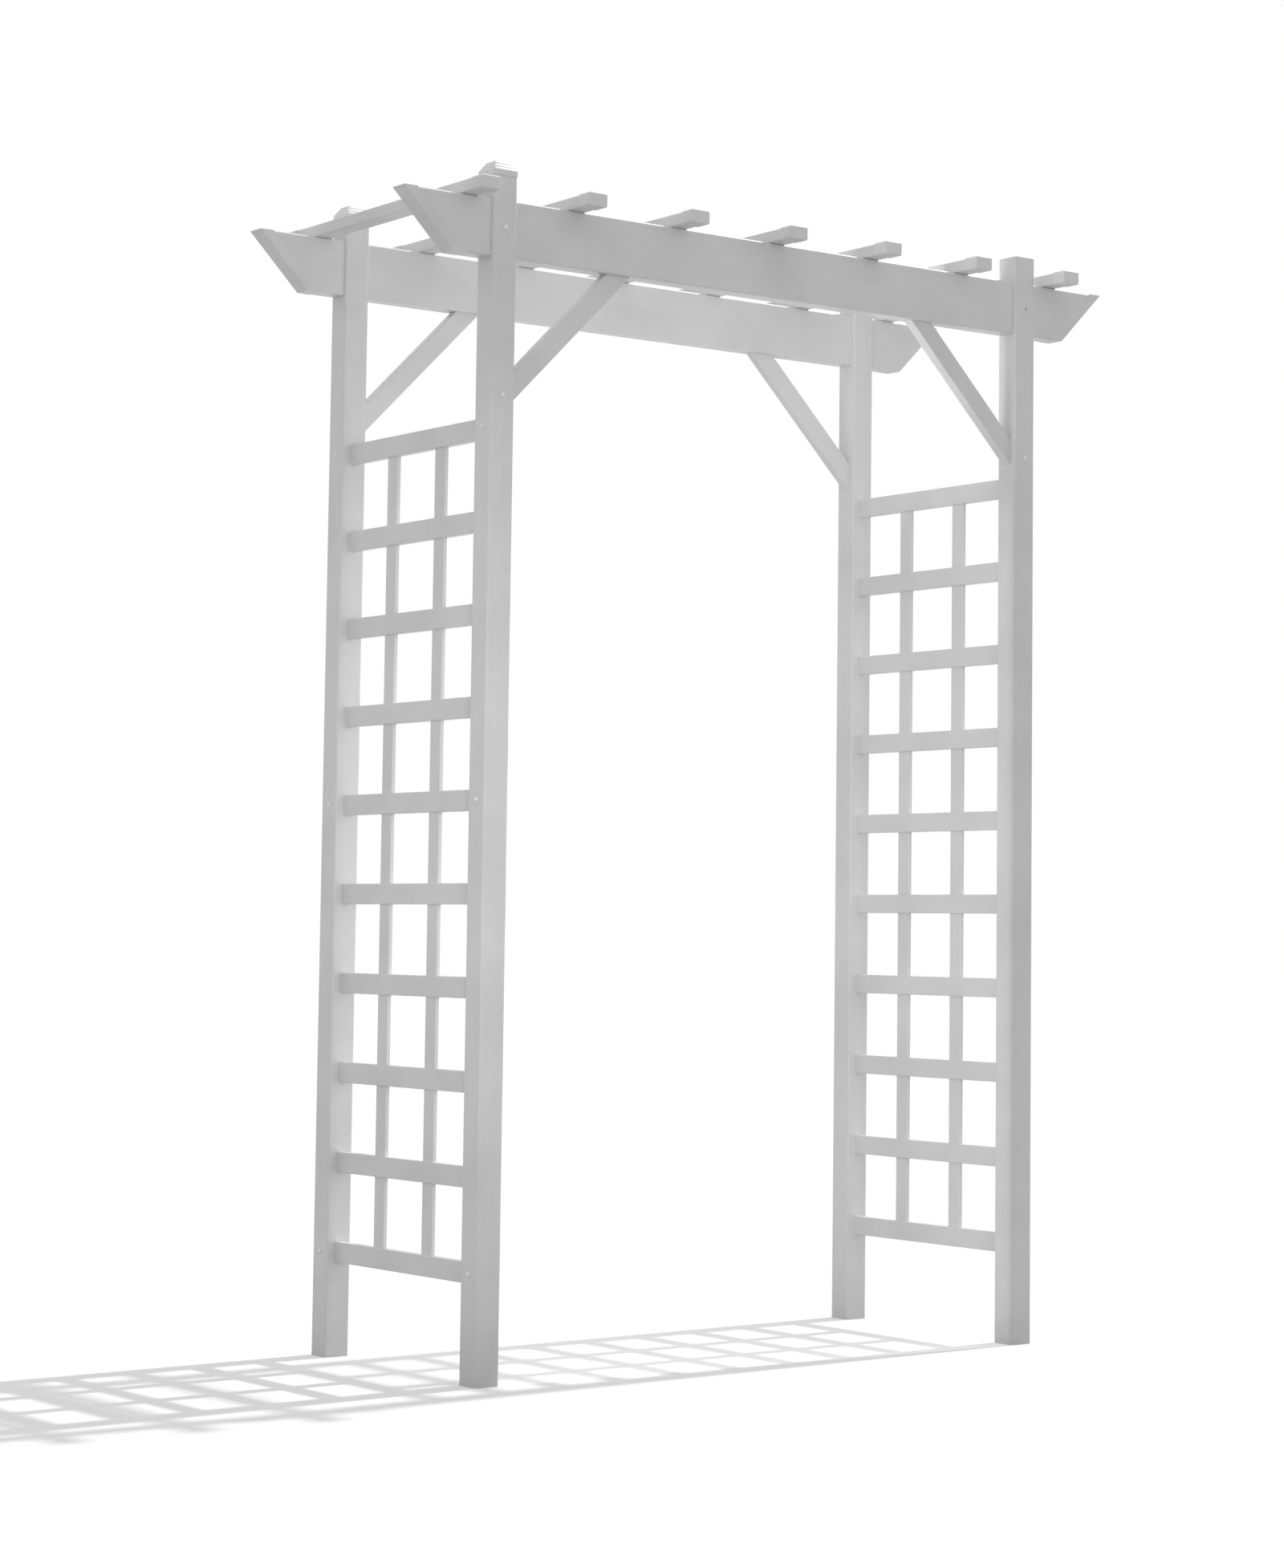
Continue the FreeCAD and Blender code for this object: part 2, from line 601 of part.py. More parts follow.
def make_screws(label, role, facing, distance, points, length):
    """Pan-head screws; their heads sit on a face at a distance along the plane's normal."""
    body = new_body(label)
    lift = signed(facing, distance)
    head = pad(body, discs(body, "heads", role, lift, points, "screw_head_diameter"), "screw_head_height",
               reverse=facing < 0)
    round_rim(body, head, role, facing * number(f"{distance} + screw_head_height"), "screw_head_round")
    pad(body, discs(body, "shanks", role, lift, points, "screw_diameter"), length, reverse=facing > 0)
    return body


def make_covers(label, role, facing, distance, points):
    """Round snap covers over screw heads."""
    body = new_body(label)
    lift = signed(facing, distance)
    height = f"({COVER_DEPTH} + cover_top)"
    disc = pad(body, discs(body, "discs", role, lift, points, f"{COVER_HOLLOW} + 2 * cover_wall"), height,
               reverse=facing < 0)
    round_rim(body, disc, role, facing * number(f"{distance} + {height}"), "cover_round")
    pocket(body, discs(body, "hollows", role, lift, points, COVER_HOLLOW), COVER_DEPTH, reverse=facing > 0)


def make_fasteners():
    """Screws and covers on the four outsides of the posts, and the screws that hold the rafters."""
    faces = face_points()
    bare_head = (signed(RIGHT, POST_X), HEADER_MIDDLE)
    make_screws("screws_front", "XZ_Plane", 1, OUTER_Y, faces, "screw_length")
    make_screws("screws_back", "XZ_Plane", -1, OUTER_Y, faces, "screw_length")
    make_screws("screws_left", "YZ_Plane", -1, OUTER_X, side_points(), RAIL_SCREW)
    make_screws("screws_right", "YZ_Plane", 1, OUTER_X, side_points(), RAIL_SCREW)
    make_covers("screw_covers_front", "XZ_Plane", 1, OUTER_Y, [point for point in faces if point != bare_head])
    make_covers("screw_covers_back", "XZ_Plane", -1, OUTER_Y, faces)
    make_covers("screw_covers_left", "YZ_Plane", -1, OUTER_X, side_points())
    make_covers("screw_covers_right", "YZ_Plane", 1, OUTER_X, side_points())

    rafter_points = [(f"-{RAFTER_LAST}", signed(side_y, POST_Y)) for side_y in (FRONT, BACK)]
    rafter_top = f"({HEADER_TOP} + rafter_height)"
    body = make_screws("screws_rafters", "XY_Plane", 1, rafter_top, rafter_points, "rafter_height + screw_bite")
    repeat(body, None, "X_Axis", RAFTER_PITCH, "rafter_count")


def check():
    """Stops if any object failed or any piece has no sound solid."""
    for item in doc.Objects:
        if "Invalid" in item.State or "Error" in item.State:
            raise RuntimeError(f"{item.Name} is {item.State}")
    for item in doc.Objects:
        if item.TypeId == "PartDesign::Body":
            if item.Shape.isNull() or not item.Shape.isValid() or not item.Shape.Solids:
                raise RuntimeError(f"{item.Label} has no sound solid")


def write():
    os.makedirs("parts", exist_ok=True)
    for item in doc.Objects:
        if item.TypeId == "PartDesign::Body":
            item.Shape.exportStep(f"parts/{item.Label}.step")


def main():
    for side_x, side_y in CORNERS:
        make_post(side_x, side_y)
        make_header_cap(side_x, side_y)
        make_slat(side_x, side_y)
        make_brace(side_x, side_y)
    for side_x, side_y in CAPPED_CORNERS:
        make_post_cap(side_x, side_y)
    for side_y in (FRONT, BACK):
        make_header(side_y)
        make_rafter_caps(side_y)
    for index in range(count("rafter_count")):
        make_rafter(index)
    for side_x in (LEFT, RIGHT):
        for index in range(count("rail_count")):
            make_rail(side_x, index)
    make_fasteners()
    doc.recompute()
    check()
    write()


main()
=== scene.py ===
import math

import bmesh
import bpy
import numpy as np
from bpy.props import FloatProperty, FloatVectorProperty, IntProperty, PointerProperty
from bpy.types import NodeSocket, Operator, Panel, PropertyGroup
from mathutils import Matrix, Vector


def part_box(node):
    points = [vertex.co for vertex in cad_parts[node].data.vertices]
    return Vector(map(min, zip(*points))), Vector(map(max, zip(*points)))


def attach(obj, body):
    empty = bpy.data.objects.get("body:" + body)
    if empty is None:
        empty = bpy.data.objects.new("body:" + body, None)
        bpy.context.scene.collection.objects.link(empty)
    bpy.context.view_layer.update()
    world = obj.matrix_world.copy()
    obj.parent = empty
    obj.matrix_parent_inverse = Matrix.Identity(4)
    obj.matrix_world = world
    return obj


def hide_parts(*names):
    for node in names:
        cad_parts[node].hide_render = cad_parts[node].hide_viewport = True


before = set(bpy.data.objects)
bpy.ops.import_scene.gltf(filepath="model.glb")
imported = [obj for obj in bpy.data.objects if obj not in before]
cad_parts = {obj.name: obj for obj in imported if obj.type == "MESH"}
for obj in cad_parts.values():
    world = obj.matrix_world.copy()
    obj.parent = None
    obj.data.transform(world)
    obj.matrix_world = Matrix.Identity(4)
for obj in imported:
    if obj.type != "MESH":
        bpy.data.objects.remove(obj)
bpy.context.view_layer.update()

bl_info = {
    "name": "Garden arch",
    "version": (1, 0, 0),
    "blender": (4, 5, 0),
    "location": "3D View > Sidebar > Garden arch",
    "description": "Dresses a flat-topped white vinyl garden arch and sets its stage",
    "category": "Object",
}

LEFT, RIGHT = "left", "right"
FRONT, BACK = "front", "back"
TOP = "top"
ACROSS, DEPTH, UP = range(3)
WHITE = (1.0, 1.0, 1.0, 1.0)
# For a face that looks each way: the direction across it, the direction up it, and its outward normal.
FACING = {
    FRONT: ((1, 0, 0), (0, 0, 1), (0, -1, 0)),
    BACK: ((-1, 0, 0), (0, 0, 1), (0, 1, 0)),
    LEFT: ((0, -1, 0), (0, 0, 1), (-1, 0, 0)),
    RIGHT: ((0, 1, 0), (0, 0, 1), (1, 0, 0)),
    TOP: ((1, 0, 0), (0, 1, 0), (0, 0, 1)),
}
RAFTERS = sorted(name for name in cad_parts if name.startswith("rafter_") and name[7:].isdigit())
RAILS = sorted(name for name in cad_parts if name.startswith("rail_"))
POST_CAPS = sorted(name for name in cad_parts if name.startswith("post_cap_"))
POSTS = sorted(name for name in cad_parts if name.startswith("post_") and name not in POST_CAPS)


# Settings


class VinylSettings(PropertyGroup):
    """Look of the drawn vinyl tubes."""

    colour: FloatVectorProperty(name="Vinyl", description="Colour of clean vinyl", subtype="COLOR", size=3,
                                min=0, max=1, default=(0.80, 0.80, 0.80))
    weathered: FloatVectorProperty(name="Weathered", description="Colour of the cloudy patches", subtype="COLOR",
                                   size=3, min=0, max=1, default=(0.735, 0.735, 0.735))
    # The vinyl turns darker and duller towards the ground.
    darkening: FloatVectorProperty(name="Dust", description="Colour of the dust near the ground", subtype="COLOR",
                              size=3, min=0, max=1, default=(0.56, 0.555, 0.55))
    darkening_reach: FloatProperty(name="Dust reach", description="Height up to which the posts are dusty",
                              unit="LENGTH", min=0.01, default=0.16)
    darkening_amount: FloatProperty(name="Dust amount", description="How thickly the dust lies", subtype="FACTOR",
                               min=0, max=1, default=0.32)
    roughness: FloatProperty(name="Roughness", description="Middle roughness of the vinyl", subtype="FACTOR",
                             min=0, max=1, default=0.34)
    streaks: FloatProperty(name="Streaks", description="How much the die lines show in the colour",
                           subtype="FACTOR", min=0, max=1, default=0.22)
    line_width: FloatProperty(name="Die line width", description="Width of the lines left by drawing",
                              unit="LENGTH", min=0.0001, default=0.0016)
    line_length: FloatProperty(name="Die line length", description="Length of the lines left by drawing",
                               unit="LENGTH", min=0.01, default=0.9)
    cloud_size: FloatProperty(name="Cloud size", description="Size of the cloudy patches", unit="LENGTH",
                              min=0.01, default=0.16)


class MouldedSettings(PropertyGroup):
    """Look of the moulded caps and covers."""

    colour: FloatVectorProperty(name="Moulded vinyl", description="Colour of the moulded pieces", subtype="COLOR",
                                size=3, min=0, max=1, default=(0.82, 0.82, 0.82))
    weathered: FloatVectorProperty(name="Weathered", description="Colour of the cloudy patches", subtype="COLOR",
                                   size=3, min=0, max=1, default=(0.76, 0.76, 0.76))
    roughness: FloatProperty(name="Roughness", description="Middle roughness of the moulded pieces",
                             subtype="FACTOR", min=0, max=1, default=0.42)
    cloud_size: FloatProperty(name="Cloud size", description="Size of the cloudy patches", unit="LENGTH",
                              min=0.01, default=0.09)
    grain: FloatProperty(name="Grain", description="Size of the pebbled mould grain", unit="LENGTH", min=0.0001,
                         default=0.0011)


class SteelSettings(PropertyGroup):
    """Look of the screws."""

    colour: FloatVectorProperty(name="Steel", description="Colour of the zinc-plated steel", subtype="COLOR",
                                size=3, min=0, max=1, default=(0.62, 0.62, 0.63))
    tarnish: FloatVectorProperty(name="Tarnish", description="Colour of the dulled patches", subtype="COLOR",
                                 size=3, min=0, max=1, default=(0.48, 0.48, 0.48))
    # Painted shade: a near-black colour laid into the cross recess of each screw head.
    recess_shade: FloatVectorProperty(name="Recess shade", description="Colour of the shade painted into the recess", subtype="COLOR",
                               size=3, min=0, max=1, default=(0.02, 0.02, 0.02))
    roughness: FloatProperty(name="Roughness", description="Middle roughness of the steel", subtype="FACTOR",
                             min=0, max=1, default=0.38)
    cloud_size: FloatProperty(name="Cloud size", description="Size of the dulled patches", unit="LENGTH",
                              min=0.0001, default=0.0035)
    grain: FloatProperty(name="Grain", description="Size of the grain of the plating", unit="LENGTH", min=0.0001,
                         default=0.0004)


class PostCapSettings(PropertyGroup):
    """Sizes of the stepped post caps."""

    tiers: IntProperty(name="Tiers", description="Number of steps", min=1, max=6, default=3)
    riser: FloatProperty(name="Riser", description="Height of the upright edge under each slope", unit="LENGTH",
                         min=0.0005, default=0.0014)
    run: FloatProperty(name="Run", description="Width of each slope", unit="LENGTH", min=0.0005, default=0.0033)
    ledge: FloatProperty(name="Ledge", description="Width of the flat between two steps", unit="LENGTH",
                         min=0.0002, default=0.0009)
    clearance: FloatProperty(name="Clearance", description="Gap between the skirt and the post", unit="LENGTH",
                             min=0, default=0.0001)
    corner: FloatProperty(name="Corner", description="Rounding of the lowest step's corners", unit="LENGTH",
                          min=0.0005, default=0.0045)
    easing: FloatProperty(name="Easing", description="How far the edges are softened", unit="LENGTH", min=0.0001,
                          default=0.00055)


class RafterCapSettings(PropertyGroup):
    """Sizes of the caps on the ends of the rafters."""

    clearance: FloatProperty(name="Clearance", description="Gap between a cap and its rafter", unit="LENGTH",
                             min=0, default=0.0001)
    plate: FloatProperty(name="Plate", description="Thickness of a cap's end", unit="LENGTH", min=0.0005,
                         default=0.002)
    corner: FloatProperty(name="Corner", description="Rounding of the rafter's edges", unit="LENGTH", min=0.0005,
                          default=0.0024)
    easing: FloatProperty(name="Easing", description="How far the edges of the end are softened", unit="LENGTH",
                          min=0.0001, default=0.0024)
    rim_easing: FloatProperty(name="Rim easing", description="How far the edge of the skirt is softened",
                              unit="LENGTH", min=0.0001, default=0.0011)


class FastenerSettings(PropertyGroup):
    """Sizes of the screws, and sizes and colours of their snap covers."""

    colour: FloatVectorProperty(name="Cover", description="Colour of the snap covers", subtype="COLOR", size=3,
                                min=0, max=1, default=(0.95, 0.95, 0.95))
    weathered: FloatVectorProperty(name="Weathered", description="Colour of the cloudy patches", subtype="COLOR",
                                   size=3, min=0, max=1, default=(0.92, 0.92, 0.92))
    head_radius: FloatProperty(name="Head radius", description="Radius of a screw head", unit="LENGTH", min=0.001,
                               default=0.0034)
    head_height: FloatProperty(name="Head height", description="Height of a screw head", unit="LENGTH",
                               min=0.0005, default=0.002)
    shank_radius: FloatProperty(name="Shank radius", description="Radius of a screw's shank", unit="LENGTH",
                                min=0.0005, default=0.00175)
    recess_reach: FloatProperty(name="Recess reach", description="Length of each arm of the cross recess",
                                unit="LENGTH", min=0.0002, default=0.0021)
    recess_width: FloatProperty(name="Recess width", description="Width of each arm of the cross recess",
                                unit="LENGTH", min=0.0001, default=0.0011)
    recess_pit: FloatProperty(name="Recess pit", description="Radius of the pit where the arms cross",
                              unit="LENGTH", min=0.0001, default=0.0014)
    recess_depth: FloatProperty(name="Recess depth", description="Depth of the cross recess", unit="LENGTH",
                                min=0.0001, default=0.0014)
    cover_radius: FloatProperty(name="Cover radius", description="Radius of a snap cover", unit="LENGTH",
                                min=0.001, default=0.0045)
    cover_height: FloatProperty(name="Cover height", description="Height of a snap cover", unit="LENGTH",
                                min=0.001, default=0.0029)
    cover_wall: FloatProperty(name="Cover wall", description="Wall of a snap cover", unit="LENGTH", min=0.0002,
                              default=0.0008)
    cover_top: FloatProperty(name="Cover top", description="Thickness of a snap cover's top", unit="LENGTH",
                             min=0.0002, default=0.0006)


class StageSettings(PropertyGroup):
    """Floor, light and camera."""

    floor: FloatVectorProperty(name="Floor", description="Colour of the floor", subtype="COLOR", size=3, min=0,
                               max=1, default=(0.75, 0.75, 0.75))
    floor_bounce: FloatVectorProperty(name="Floor bounce", description="Colour of the light the floor throws up",
                                      subtype="COLOR", size=3, min=0, max=1, default=(0.38, 0.38, 0.38))
    floor_lift: FloatProperty(name="Floor lift", description="White that the floor shows on top of its shading",
                              min=0, max=1, default=0.19)
    ambient: FloatProperty(name="Ambient", description="Strength of the even light from all round", min=0,
                           default=0.645)
    sun: FloatProperty(name="Sun", description="Strength of the sun lamp", min=0, default=1.9)
    inner_fill: FloatProperty(name="Inner fill", description="Power of the soft panel in the front opening",
                              unit="POWER", min=0, default=2.4)
    head_fill: FloatProperty(name="Head fill", description="Power of the soft panel behind the front header",
                             unit="POWER", min=0, default=0.58)
    corner_fill: FloatProperty(name="Corner fill", description="Power of the soft panel by the near corner",
                               unit="POWER", min=0, default=0.62)
    side_fill: FloatProperty(name="Side fill", description="Power of the soft panel that looks up to the right",
                             unit="POWER", min=0, default=0.3)
    sun_bearing: FloatProperty(name="Sun bearing", description="Where the sun stands, turned from right to back",
                               subtype="ANGLE", default=math.radians(5.0))
    sun_height: FloatProperty(name="Sun height", description="How high the sun stands", subtype="ANGLE",
                              default=math.radians(50.0))
    sun_spread: FloatProperty(name="Sun spread", description="Apparent width of the sun; softens the shadows",
                              subtype="ANGLE", default=math.radians(1.0))
    camera_place: FloatVectorProperty(name="Camera place", description="Where the camera stands", unit="LENGTH",
                                      subtype="TRANSLATION", size=3, default=(-4.00741, -5.34581, 0.79754))
    camera_bearing: FloatProperty(name="Camera bearing", description="Camera's turn to the right",
                                  subtype="ANGLE", default=math.radians(36.0999))
    camera_tilt: FloatProperty(name="Camera tilt", description="Camera's tilt upwards", subtype="ANGLE",
                               default=math.radians(4.5195))
    camera_roll: FloatProperty(name="Camera roll", description="Camera's roll", subtype="ANGLE",
                               default=math.radians(0.7313))
    camera_lens: FloatProperty(name="Lens", description="Focal length for a 36 mm long side",
                               subtype="DISTANCE_CAMERA", default=79.306)
    camera_shift: FloatProperty(name="Camera shift", description="How far the frame lies above the line of sight",
                                default=-0.0813)


# Surfaces


def eased_profile(corners, cuts, steps=4):
    """A line through corner points with each inner corner eased.

    A corner B is replaced by the curve (1-t)^2 A + 2t(1-t) B + t^2 C, where A and C lie at the cut's distance
    before and after it.
    """
    corners = np.asarray(corners, float)
    bend = corners[1:-1]
    before = corners[:-2] - bend
    after = corners[2:] - bend
    cuts = np.asarray(cuts, float)[:, None]
    start = bend + cuts * before / np.linalg.norm(before, axis=1, keepdims=True)
    end = bend + cuts * after / np.linalg.norm(after, axis=1, keepdims=True)
    t = np.linspace(0.0, 1.0, steps)[None, :, None]
    curves = (1 - t) ** 2 * start[:, None] + 2 * t * (1 - t) * bend[:, None] + t ** 2 * end[:, None]
    return np.vstack([corners[:1], curves.reshape(-1, 2), corners[-1:]])


def rectangle_rings(half_across, half_up, radius, height, steps=6):
    """Rings round rectangles with rounded corners, one for each entry of the arrays.

    A point is its corner's centre, which lies one radius inside both sides, plus the radius times
    (cosine, sine) of an angle that turns by a quarter round each corner; its height is the ring's.
    """
    half_across, half_up, radius, height = (
        values[:, None, None] for values in (half_across, half_up, radius, height))
    quarter = np.arange(4)[:, None] * (np.pi / 2)
    angle = quarter + np.linspace(0.0, np.pi / 2, steps)
    sign_across = np.array((1, -1, -1, 1))[:, None]
    sign_up = np.array((1, 1, -1, -1))[:, None]
    across = sign_across * (half_across - radius) + radius * np.cos(angle)
    up = sign_up * (half_up - radius) + radius * np.sin(angle)
    level = np.broadcast_to(height, across.shape)
    return np.stack([across, up, level], axis=-1).reshape(len(height), 4 * steps, 3)


def turned_rings(profile, steps=40):
    """Rings round an axis: a profile point (r, h) becomes (r cos a, r sin a, h) for angles a all the way round."""
    angle = np.linspace(0.0, 2 * np.pi, steps, endpoint=False)
    radius = profile[:, :1]
    height = np.broadcast_to(profile[:, 1:], (len(profile), steps))
    return np.stack([radius * np.cos(angle), radius * np.sin(angle), height], axis=-1)


def placed(rings, origins, facing):
    """Copies of the rings, one at each origin, with the rings' axis along a face's outward normal."""
    directions = np.asarray(FACING[facing], float)
    return (rings @ directions)[None] + np.asarray(origins, float)[:, None, None, :]


def closed_surface(name, rings, material, nodes):
    """Object from rings of points, given as copies, rings, points round a ring and coordinates.

    Neighbouring points of neighbouring rings make four-sided faces, and one face closes each end of a copy.
    The rings run so that the side on the right of the profile is the outside.
    """
    copies, count, around = rings.shape[:3]
    index = np.arange(copies * count * around).reshape(copies, count, around)
    here = index[:, :-1]
    ahead = index[:, 1:]
    sides = np.stack([here, np.roll(here, -1, axis=2), np.roll(ahead, -1, axis=2), ahead], axis=-1)
    faces = sides.reshape(-1, 4).tolist() + index[:, 0, ::-1].tolist() + index[:, -1].tolist()
    mesh = bpy.data.meshes.new(name)
    mesh.from_pydata(rings.reshape(-1, 3), [], faces)
    if mesh.validate():
        raise RuntimeError(f"{name}: the surface has broken faces")
    scratch = bmesh.new()
    scratch.from_mesh(mesh)
    volume = scratch.calc_volume(signed=True)
    scratch.free()
    if volume <= 0:
        raise RuntimeError(f"{name}: the surface is inside out")
    mesh.shade_smooth()
    mesh.set_sharp_from_angle(angle=math.radians(32.0))
    mesh.materials.append(material)
    piece = bpy.data.objects.new(name, mesh)
    bpy.context.scene.collection.objects.link(piece)
    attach(piece, "root")
    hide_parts(*nodes)
    return piece


# Materials


def add_node(tree, kind, inputs=None, **settings):
    """A node with its settings, and each input linked to a socket or set to a value."""
    node = tree.nodes.new(kind)
    for name, value in settings.items():
        setattr(node, name, value)
    for key, value in (inputs or {}).items():
        if isinstance(value, NodeSocket):
            tree.links.new(value, node.inputs[key])
        else:
            node.inputs[key].default_value = value
    return node


def noise(tree, vector, scale, detail=2.0, roughness=0.5):
    """A noise pattern's value."""
    inputs = {"Vector": vector, "Scale": scale, "Detail": detail, "Roughness": roughness}
    return add_node(tree, "ShaderNodeTexNoise", inputs).outputs["Fac"]


def remap(tree, value, low, high, to_low=0.0, to_high=1.0):
    """A value eased from one range to another."""
    inputs = {"Value": value, "From Min": low, "From Max": high, "To Min": to_low, "To Max": to_high}
    return add_node(tree, "ShaderNodeMapRange", inputs, interpolation_type="SMOOTHSTEP").outputs["Result"]


def calculate(tree, operation, first, second):
    """Two values put together."""
    return add_node(tree, "ShaderNodeMath", {0: first, 1: second}, operation=operation).outputs["Value"]


def blend_colours(tree, mask, first, second):
    """The first colour where the mask is 0 and the second where it is 1."""
    return add_node(tree, "ShaderNodeMix", {0: mask, 6: first, 7: second}, data_type="RGBA").outputs[2]


def new_group(name, inputs, outputs):
    """An empty shader node group with named sockets, and its input and output nodes."""
    tree = bpy.data.node_groups.new(name, "ShaderNodeTree")
    for socket, kind in inputs:
        tree.interface.new_socket(socket, in_out="INPUT", socket_type="NodeSocket" + kind)
    for socket, kind in outputs:
        tree.interface.new_socket(socket, in_out="OUTPUT", socket_type="NodeSocket" + kind)
    return tree, tree.nodes.new("NodeGroupInput").outputs, tree.nodes.new("NodeGroupOutput")


def join(tree, sockets, node):
    """Links sockets to a node's inputs by name."""
    for name, socket in sockets.items():
        tree.links.new(socket, node.inputs[name])


def clouding_group(name):
    """Cloudy patches: soft noise at the patch size mixes the clean colour with the weathered one."""
    tree, given, result = new_group(
        name,
        (("Position", "Vector"), ("Patch", "Float"), ("Clean", "Color"), ("Weathered", "Color")),
        (("Colour", "Color"), ("Mask", "Float")))
    scale = calculate(tree, "DIVIDE", 1.0, given["Patch"])
    patches = remap(tree, noise(tree, given["Position"], scale, 4.0, 0.55), 0.36, 0.68)
    colour = blend_colours(tree, patches, given["Clean"], given["Weathered"])
    join(tree, {"Colour": colour, "Mask": patches}, result)
    return tree


def die_lines_group(name):
    """Lines left by drawing a tube: noise that is stretched along the tube, fine and broad."""
    tree, given, result = new_group(
        name,
        (("Along", "Vector"), ("Roughness", "Float"), ("Spread", "Float")),
        (("Roughness", "Float"), ("Height", "Float"), ("Streaks", "Float")))
    fine = noise(tree, given["Along"], 1.0, 2.0, 0.6)
    broad = noise(tree, given["Along"], 0.14, 1.0, 0.5)
    streaks = remap(tree, broad, 0.35, 0.65)
    swing = calculate(tree, "MULTIPLY", calculate(tree, "SUBTRACT", fine, 0.5), given["Spread"])
    roughness = calculate(tree, "ADD", given["Roughness"], swing)
    height = calculate(tree, "ADD", fine, calculate(tree, "MULTIPLY", broad, 2.0))
    join(tree, {"Roughness": roughness, "Height": height, "Streaks": streaks}, result)
    return tree


def darkening_group(name):
    """Darker near the ground: fades out at the reach, broken up by noise."""
    tree, given, result = new_group(
        name,
        (("Position", "Vector"), ("Reach", "Float"), ("Colour", "Color"), ("Dust", "Color"), ("Amount", "Float")),
        (("Colour", "Color"), ("Mask", "Float")))
    height = add_node(tree, "ShaderNodeSeparateXYZ", {"Vector": given["Position"]}).outputs["Z"]
    share = calculate(tree, "DIVIDE", height, given["Reach"])
    ragged = calculate(tree, "MULTIPLY", noise(tree, given["Position"], 38.0, 5.0, 0.65), 0.9)
    low = remap(tree, calculate(tree, "ADD", share, ragged), 0.35, 1.25, 1.0, 0.0)
    mask = calculate(tree, "MULTIPLY", low, given["Amount"])
    colour = blend_colours(tree, mask, given["Colour"], given["Dust"])
    join(tree, {"Colour": colour, "Mask": mask}, result)
    return tree


def mould_grain_group(name):
    """Fine pebbled grain of a mould: cells at the grain size, with softer noise over them."""
    tree, given, result = new_group(
        name,
        (("Position", "Vector"), ("Grain", "Float"), ("Roughness", "Float"), ("Spread", "Float")),
        (("Roughness", "Float"), ("Height", "Float")))
    scale = calculate(tree, "DIVIDE", 1.0, given["Grain"])
    cells = add_node(tree, "ShaderNodeTexVoronoi", {"Vector": given["Position"], "Scale": scale},
                     feature="SMOOTH_F1").outputs["Distance"]
    soft = noise(tree, given["Position"], 160.0, 3.0, 0.6)
    swing = calculate(tree, "MULTIPLY", calculate(tree, "SUBTRACT", soft, 0.5), given["Spread"])
    roughness = calculate(tree, "ADD", given["Roughness"], swing)
    height = calculate(tree, "ADD", cells, soft)
    join(tree, {"Roughness": roughness, "Height": height}, result)
    return tree


def place_group(tree, name, build, inputs):
    """A node group, built the first time it is asked for, placed in a material with its own values."""
    group = bpy.data.node_groups.get(name) or build(name)
    return add_node(tree, "ShaderNodeGroup", inputs, node_tree=group).outputs


def bumped(tree, height, strength, distance):
    """A normal that follows a height."""
    inputs = {"Height": height, "Strength": strength, "Distance": distance}
    return add_node(tree, "ShaderNodeBump", inputs).outputs["Normal"]


def empty_material(name):
    """A material with no nodes, and its tree."""
    material = bpy.data.materials.new(name)
    material.use_nodes = True
    material.node_tree.nodes.clear()
    return material, material.node_tree


def new_material(name):
    """A material for a piece, its tree, the piece's own coordinates and its surface shader."""
    material, tree = empty_material(name)
    shader = tree.nodes.new("ShaderNodeBsdfPrincipled")
    output = tree.nodes.new("ShaderNodeOutputMaterial")
    tree.links.new(shader.outputs["BSDF"], output.inputs["Surface"])
    position = tree.nodes.new("ShaderNodeTexCoord").outputs["Object"]
    return material, tree, position, shader


def opaque(colour):
    """A colour with full cover."""
    return (*colour, 1.0)


def vinyl_material(name, along, turn=0.0):
    """Drawn vinyl: clouded white with die lines along the tube, turning darker and duller near the ground.

    The tube runs along one axis, given by its number, turned about the arch's depth.
    """
    vinyl = bpy.context.scene.arch_vinyl
    material, tree, position, shader = new_material(name)
    size = [vinyl.line_width] * 3
    size[along] = vinyl.line_length
    drawn = add_node(tree, "ShaderNodeMapping",
                     {"Vector": position, "Rotation": (0.0, turn, 0.0), "Scale": size}, vector_type="TEXTURE")
    clouds = place_group(tree, "Clouding", clouding_group, {
        "Position": position, "Patch": vinyl.cloud_size, "Clean": opaque(vinyl.colour),
        "Weathered": opaque(vinyl.weathered)})
    lines = place_group(tree, "Die lines", die_lines_group, {
        "Along": drawn.outputs["Vector"], "Roughness": vinyl.roughness, "Spread": 0.3})
    streaks = calculate(tree, "MULTIPLY", lines["Streaks"], vinyl.streaks)
    streaked = blend_colours(tree, streaks, clouds["Colour"], opaque(vinyl.weathered))
    # Darker and duller towards the ground.
    darkened = place_group(tree, "Ground dust", darkening_group, {
        "Position": position, "Reach": vinyl.darkening_reach, "Colour": streaked, "Dust": opaque(vinyl.darkening),
        "Amount": vinyl.darkening_amount})
    dulled = calculate(tree, "MULTIPLY", darkened["Mask"], 0.4)
    join(tree, {"Base Color": darkened["Colour"], "Roughness": calculate(tree, "ADD", lines["Roughness"], dulled),
                "Normal": bumped(tree, lines["Height"], 0.12, 0.0002)}, shader)
    return material


def moulded_material(name, colours):
    """Moulded vinyl: white, clouded in the two colours of some settings, with a fine pebbled grain."""
    existing = bpy.data.materials.get(name)
    if existing:
        return existing
    moulded = bpy.context.scene.arch_moulded
    material, tree, position, shader = new_material(name)
    clouds = place_group(tree, "Clouding", clouding_group, {
        "Position": position, "Patch": moulded.cloud_size, "Clean": opaque(colours.colour),
        "Weathered": opaque(colours.weathered)})
    grain = place_group(tree, "Mould grain", mould_grain_group, {
        "Position": position, "Grain": moulded.grain, "Roughness": moulded.roughness, "Spread": 0.3})
    join(tree, {"Base Color": clouds["Colour"], "Roughness": grain["Roughness"],
                "Normal": bumped(tree, grain["Height"], 0.2, 0.0001)}, shader)
    return material


